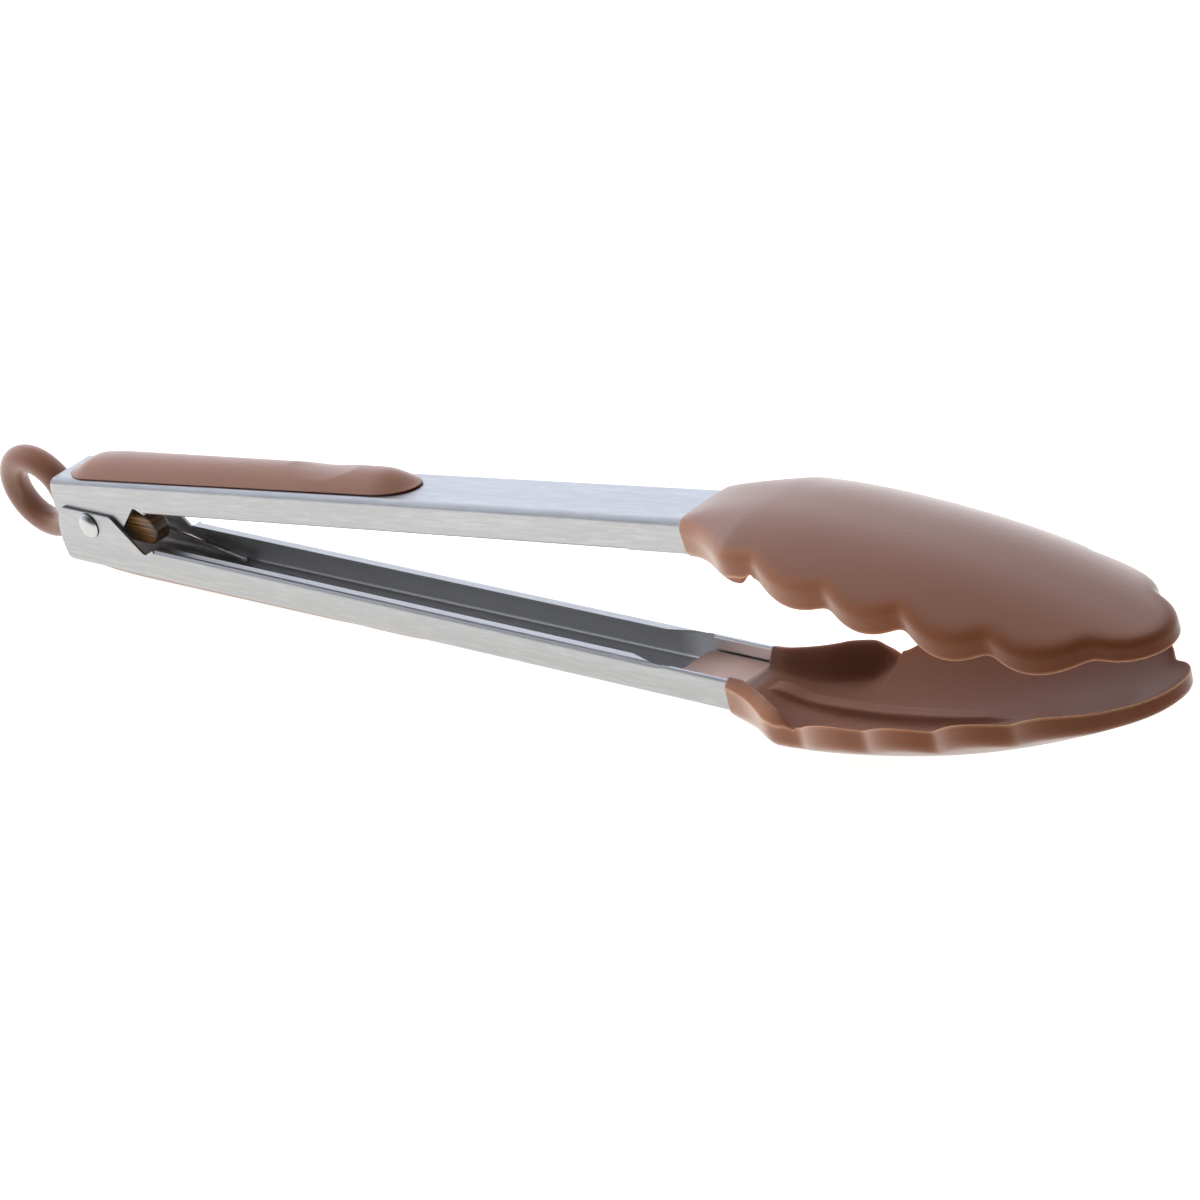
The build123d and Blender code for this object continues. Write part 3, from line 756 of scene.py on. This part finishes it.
def silicone(name, inner=0):
    t = Tree(name)
    flat = t.coords((1, 1, 1))
    cloud = t.noise(flat, 38.0, 3.0, 0.55)
    fine = t.noise(flat, 1500.0, 2.0, 0.5)
    col = t.ramp(cloud, [(0.25, (0.205, 0.092, 0.056)), (0.75, (0.230, 0.106, 0.066))])
    col = t.mix(t.span(fine, 0.3, 0.7, 0.0, 0.12), col, (0.28, 0.13, 0.085))
    # a little lint that silicone always picks up
    lint = t.node("ShaderNodeTexVoronoi", {"Vector": flat, "Scale": 240.0, "Randomness": 1.0}, feature="F1")
    speck = t.span(lint.outputs["Distance"], 0.03, 0.05, 0.3, 0.0)
    rare = t.span(t.noise(flat, 120.0, 1.0), 0.6, 0.68, 0.0, 1.0)
    col = t.mix(t.math("MULTIPLY", speck, rare), col, (0.55, 0.43, 0.36))
    if inner:
        # painted light on the rim: the rim band gets a painted glow of light passing through the thin silicone, darker
        # towards the tip, and its crest gets a thin painted highlight
        rim = t.node("ShaderNodeAttribute", attribute_name="rim").outputs["Fac"]
        line = t.node("ShaderNodeAttribute", attribute_name="crest").outputs["Fac"]
        where = t.node("ShaderNodeTexCoord").outputs["Object"]
        along = t.node("ShaderNodeSeparateXYZ", {0: where}).outputs["X"]
        painted_rim_glow = t.ramp(t.span(along, 0.06, 0.155, 0.0, 1.0), [(0.0, (0.34, 0.157, 0.095)), (0.55, (0.225, 0.081, 0.036)), (1.0, (0.125, 0.037, 0.012))])
        c = t.node("ShaderNodeTexCoord")
        up = t.node("ShaderNodeSeparateXYZ", {0: c.outputs["Normal"]}).outputs["Z"]
        facing = t.span(up, 0.1 * inner, 0.5 * inner, 0.0, 1.0)
        hollow = t.math("MULTIPLY", facing, t.span(along, 0.0546, 0.0580, 0.0, 1.0))
        col = t.mix(t.span(cloud, 0.3, 0.7, 0.45, 0.6), col, (0.168, 0.066, 0.038))
        # painted bounce light: inside the bowl the colour is painted paler, and there the specular and sheen are
        # turned down
        col = t.mix(t.math("MULTIPLY", hollow, t.span(fine, 0.2, 0.8, 0.8, 1.0)), col, (0.285, 0.143, 0.097))
        # painted sheen: the top of the tongue is painted paler, standing in for its grazing reflection of the bright
        # surroundings
        tongue = t.math("MULTIPLY", t.span(along, 0.0535, 0.0548, 1.0, 0.0), t.span(along, 0.0375, 0.0470, 0.12, 1.0))
        tongue = t.math("MULTIPLY", tongue, facing)
        col = t.mix(t.math("MULTIPLY", tongue, t.span(cloud, 0.2, 0.8, 0.8, 1.0)), col, (0.54, 0.35, 0.29))
        # painted glow in the rim band: pale orange near the root, darker towards the tip
        col = t.mix(t.math("MULTIPLY", t.math("POWER", rim, 1.5), 0.9), col, painted_rim_glow)
        # painted highlight: a thin pale line along the crest
        col = t.mix(t.math("MULTIPLY", line, t.span(fine, 0.2, 0.8, 0.5, 0.8)), col, (0.62, 0.36, 0.22))
    t.set(Base_Color=col)
    t.set(Roughness=t.span(cloud, 0.2, 0.8, 0.32, 0.39))
    n = t.bump(fine, 0.10, 0.0003)
    n = t.bump(t.noise(flat, 260.0, 2.0), 0.04, 0.0006, n)
    t.set(Normal=n)
    b = t.bsdf.inputs
    b["IOR"].default_value = 1.42
    if inner:
        t.set(Specular_IOR_Level=t.span(t.math("MAXIMUM", hollow, t.math("MULTIPLY", rim, 0.8)), 0.0, 1.0, 0.5, 0.03))
    b["Subsurface Weight"].default_value = 0.25
    b["Subsurface Radius"].default_value = (1.0, 0.42, 0.2)
    b["Subsurface Scale"].default_value = 0.0022
    b["Sheen Weight"].default_value = 0.5
    if inner:
        t.set(Sheen_Weight=t.span(hollow, 0.0, 1.0, 0.75, 0.02))
    b["Sheen Roughness"].default_value = 0.35
    b["Sheen Tint"].default_value = (1.0, 0.98, 0.92, 1)
    return t.mat


def steel(name, turn=(0, 0, 0)):
    t = Tree(name)
    streak = t.noise(t.coords((9.0, 2600.0, 2600.0), turn), 1.0, 4.0, 0.62)
    band = t.noise(t.coords((4.0, 330.0, 330.0), turn), 1.0, 3.0, 0.6)
    cloud = t.noise(t.coords((16.0, 40.0, 40.0), turn), 1.0, 3.0, 0.55)
    fleck = t.noise(t.coords((150.0, 1500.0, 1500.0), turn), 1.0, 3.0, 0.6)
    col = t.ramp(streak, [(0.2, (0.345, 0.345, 0.347)), (0.8, (0.45, 0.45, 0.45))])
    col = t.mix(t.span(band, 0.3, 0.7, 0.0, 0.35), col, (0.48, 0.48, 0.48))
    col = t.mix(t.span(cloud, 0.35, 0.75, 0.0, 0.18), col, (0.33, 0.33, 0.33))
    # short scratches of the belt
    col = t.mix(t.span(fleck, 0.45, 0.7, 0.0, 0.45), col, (0.36, 0.36, 0.357))
    col = t.mix(t.span(fleck, 0.3, 0.5, 0.4, 0.0), col, (0.52, 0.52, 0.518))
    # painted shade: faces inside the channel get a separate steel colour and more roughness, standing in for the shade
    # in the channel
    c = t.node("ShaderNodeTexCoord")
    place = t.node("ShaderNodeVectorMath", {0: c.outputs["Object"], 1: tuple(to_lower([0, 0, PIVOT_Z]))}, operation="SUBTRACT")
    place = t.node("ShaderNodeMapping", {"Vector": place.outputs[0], "Rotation": turn}, vector_type="VECTOR")
    facing = t.node("ShaderNodeMapping", {"Vector": c.outputs["Normal"], "Rotation": turn}, vector_type="VECTOR")
    dots = t.node("ShaderNodeVectorMath", {0: place.outputs[0], 1: facing.outputs[0]}, operation="MULTIPLY")
    part = t.node("ShaderNodeSeparateXYZ", {0: dots.outputs[0]})
    floor_in = t.span(part.outputs["Z"], -0.0085, -0.0075, 1.0, 0.0)
    wall_in = t.span(part.outputs["Y"], -0.0050, -0.0035, 1.0, 0.0)
    channel_shade = t.math("MAXIMUM", floor_in, wall_in)
    channel_shade_and_hem_highlight = t.mix(t.span(band, 0.3, 0.7, 0.1, 0.6), (0.50, 0.495, 0.49), (0.62, 0.615, 0.61))
    # painted highlight: the inner face of the folded hem beside the sleeve is painted near-white, standing in for a
    # bright reflection
    far = t.node("ShaderNodeSeparateXYZ", {0: place.outputs[0]}).outputs["X"]
    hem_highlight = t.math("MULTIPLY", wall_in, t.span(far, 0.158, 0.164, 0.0, 1.0))
    channel_shade_and_hem_highlight = t.mix(t.math("MULTIPLY", hem_highlight, t.span(band, 0.3, 0.7, 0.85, 1.0)), channel_shade_and_hem_highlight, (0.95, 0.95, 0.94))
    col = t.mix(channel_shade, col, channel_shade_and_hem_highlight)
    t.set(Base_Color=col)
    rough = t.math("ADD", t.span(streak, 0.2, 0.8, -0.05, 0.07), t.span(cloud, 0.2, 0.8, 0.27, 0.35))
    rough = t.math("ADD", rough, t.math("MULTIPLY", channel_shade, 0.12))
    t.set(Roughness=rough)
    n = t.bump(streak, 0.16, 0.00006)
    n = t.bump(band, 0.06, 0.0002, n)
    t.set(Normal=n)
    t.bsdf.inputs["Metallic"].default_value = 1.0
    return t.mat


def turned_steel(name, base, low, high, ring):
    t = Tree(name)
    v = t.coords((1, 1, 1))
    grain = t.noise(t.coords((1400.0, 300.0, 1400.0)) if ring else t.coords((500.0, 1600.0, 500.0)), 1.0, 3.0, 0.6)
    cloud = t.noise(v, 320.0, 2.0)
    col = t.ramp(grain, [(0.25, tuple(c * 0.9 for c in base)), (0.75, base)])
    geo = t.node("ShaderNodeNewGeometry")
    col = t.mix(t.span(geo.outputs["Pointiness"], 0.5, 0.6, 0.0, 0.3), col, (0.7, 0.7, 0.705))
    t.set(Base_Color=col)
    t.set(Roughness=t.span(cloud, 0.25, 0.75, low, high))
    t.set(Normal=t.bump(grain, 0.1, 0.00005))
    t.bsdf.inputs["Metallic"].default_value = 1.0
    return t.mat


def slide_plastic(name):
    t = Tree(name)
    grain = t.noise(t.coords((40.0, 80.0, 1900.0)), 1.0, 3.0, 0.55, 0.6)
    col = t.ramp(grain, [(0.36, (0.06, 0.023, 0.006)), (0.5, (0.22, 0.10, 0.026)), (0.64, (0.40, 0.205, 0.062))])
    # the nose end is mixed towards near-black
    c = t.node("ShaderNodeTexCoord")
    along = t.node("ShaderNodeSeparateXYZ", {0: c.outputs["Object"]}).outputs["X"]
    col = t.mix(t.span(along, -0.1140, -0.1115, 0.0, 0.8), col, (0.03, 0.016, 0.009))
    t.set(Base_Color=col)
    t.set(Roughness=t.span(grain, 0.3, 0.7, 0.3, 0.44))
    t.set(Normal=t.bump(grain, 0.3, 0.00012))
    b = t.bsdf.inputs
    b["Specular IOR Level"].default_value = 0.5
    b["Subsurface Weight"].default_value = 0.1
    b["Subsurface Radius"].default_value = (1.0, 0.4, 0.15)
    b["Subsurface Scale"].default_value = 0.0015
    return t.mat


def nylon(name):
    t = Tree(name)
    v = t.coords((1, 1, 1))
    grain = t.noise(v, 1400.0, 3.0)
    t.set(Base_Color=t.ramp(grain, [(0.3, (0.018, 0.018, 0.02)), (0.7, (0.035, 0.034, 0.034))]))
    t.set(Roughness=t.span(grain, 0.3, 0.7, 0.45, 0.6))
    t.set(Normal=t.bump(grain, 0.15, 0.0001))
    return t.mat


TILT = (0.0, REST, 0.0)
silicone_mat = silicone("silicone_mocha")
scoop_lower = silicone("silicone_scoop_lower", 1)
scoop_upper = silicone("silicone_scoop_upper", -1)
steel_lower = steel("brushed_steel_lower")
steel_upper = steel("brushed_steel_upper", TILT)
rivet_mat = turned_steel("rivet_satin", (0.52, 0.53, 0.52), 0.2, 0.3, True)
spring_mat = turned_steel("spring_wire", (0.6, 0.6, 0.61), 0.2, 0.32, False)
slide_mat = slide_plastic("slide_amber")
nylon_mat = nylon("nylon_black")


def give(obj, mat):
    obj.data.materials.clear()
    obj.data.materials.append(mat)


give(lower_head, scoop_lower)
give(upper_head, scoop_upper)
for o in (lower_grip, upper_grip, ring):
    give(o, silicone_mat)
give(slide, slide_mat)
give(rivet, rivet_mat)
give(spring, spring_mat)
give(nodes["lower_arm"], steel_lower)
give(nodes["upper_arm"], steel_upper)
for n in ("lower_head_core", "upper_head_core", "hinge_spacer"):
    give(nodes[n], nylon_mat)

# ------------------------------------------------------------------
# Stage, light and camera
# ------------------------------------------------------------------
bpy.ops.mesh.primitive_plane_add(size=8.0, location=(0, 0, -0.00002))
floor = bpy.context.object
floor.name = "floor"
ft = Tree("floor_light_table")
fv = ft.coords((1, 1, 1))
ft.set(Base_Color=ft.ramp(ft.noise(fv, 5.0, 2.0), [(0.3, (0.40, 0.398, 0.395)), (0.7, (0.42, 0.418, 0.415))]))
ft.set(Roughness=ft.span(ft.noise(fv, 300.0, 2.0), 0.3, 0.7, 0.85, 0.95))
ft.bsdf.inputs["Specular IOR Level"].default_value = 0.1
ft.bsdf.inputs["Emission Color"].default_value = (1.0, 0.99, 0.97, 1)
ft.bsdf.inputs["Emission Strength"].default_value = 0.96
give(floor, ft.mat)

# sky: bright bluish band low behind the object, dim towards the camera
world = bpy.data.worlds.new("studio")
scene.world = world
world.use_nodes = True
wt = world.node_tree
bg = next(n for n in wt.nodes if n.type == "BACKGROUND")


def world_node(kind, links, **values):
    n = wt.nodes.new(kind)
    for k, v in values.items():
        setattr(n, k, v)
    for k, v in links.items():
        if isinstance(v, bpy.types.NodeSocket):
            wt.links.new(v, n.inputs[k])
        else:
            n.inputs[k].default_value = v
    return n


tc = world_node("ShaderNodeTexCoord", {})
sep = world_node("ShaderNodeSeparateXYZ", {0: tc.outputs["Generated"]})
ramp = world_node("ShaderNodeValToRGB", {"Fac": sep.outputs["Z"]})
stops = [(0.0, (0.82, 0.87, 1.0)), (0.5, (0.82, 0.87, 1.0)), (0.64, (0.68, 0.71, 0.8)), (0.82, (0.54, 0.56, 0.6)), (1.0, (0.46, 0.47, 0.5))]
e = ramp.color_ramp.elements
while len(e) < len(stops):
    e.new(0.5)
for el, (pos, col) in zip(e, stops):
    el.position = pos
    el.color = (*col, 1)
toward = world_node("ShaderNodeVectorMath", {0: tc.outputs["Generated"], 1: (-0.68, 0.73, 0.0)}, operation="DOT_PRODUCT")
behind = world_node("ShaderNodeMapRange", {"Value": toward.outputs["Value"], "From Min": -0.45, "From Max": 0.6, "To Min": 0.0, "To Max": 1.0})
blend = world_node("ShaderNodeMix", {0: behind.outputs[0], 6: (0.05, 0.05, 0.052, 1), 7: ramp.outputs["Color"]}, data_type="RGBA")
wt.links.new(blend.outputs[2], bg.inputs["Color"])
bg.inputs["Strength"].default_value = 1.72


def softbox(name, place, aim, size, power, colour, shape_y=None):
    light = bpy.data.lights.new(name, "AREA")
    light.energy, light.color = power, colour
    if shape_y:
        light.shape, light.size, light.size_y = "RECTANGLE", size, shape_y
    else:
        light.size = size
    obj = bpy.data.objects.new(name, light)
    scene.collection.objects.link(obj)
    obj.location = place
    obj.rotation_euler = (Vector(aim) - Vector(place)).to_track_quat("-Z", "Y").to_euler()
    return obj


key = softbox("key_left", (-0.75, -0.12, 0.55), (-0.05, 0.0, 0.03), 0.7, 6.0, (1.0, 0.985, 0.97), 0.7)
key.visible_glossy = False
top = softbox("overhead", (0.1, -0.1, 1.3), (0.02, 0.0, 0.0), 1.0, 6.0, (1.0, 0.985, 0.96))
top.visible_glossy = False

camera = bpy.data.cameras.new("photo_view")
cam = bpy.data.objects.new("photo_view", camera)
scene.collection.objects.link(cam)
right = (0.71358368, 0.666465, -0.21592297)
down = (0.15484183, -0.45062811, -0.87918048)
ahead = (-0.68324398, 0.59393493, -0.42475753)
spot = (0.834110, -0.711129, 0.526424)
cam.matrix_world = Matrix([(right[i], -down[i], -ahead[i], spot[i]) for i in range(3)] + [(0, 0, 0, 1)])
camera.sensor_width = 36.0
camera.lens = 6134.624 / 1200 * 36.0
camera.clip_start, camera.clip_end = 0.05, 60.0
camera.dof.use_dof = False
scene.camera = cam

scene.view_settings.view_transform = "Standard"
scene.view_settings.look = "None"
scene.view_settings.exposure = 0.0
scene.view_settings.gamma = 1.0
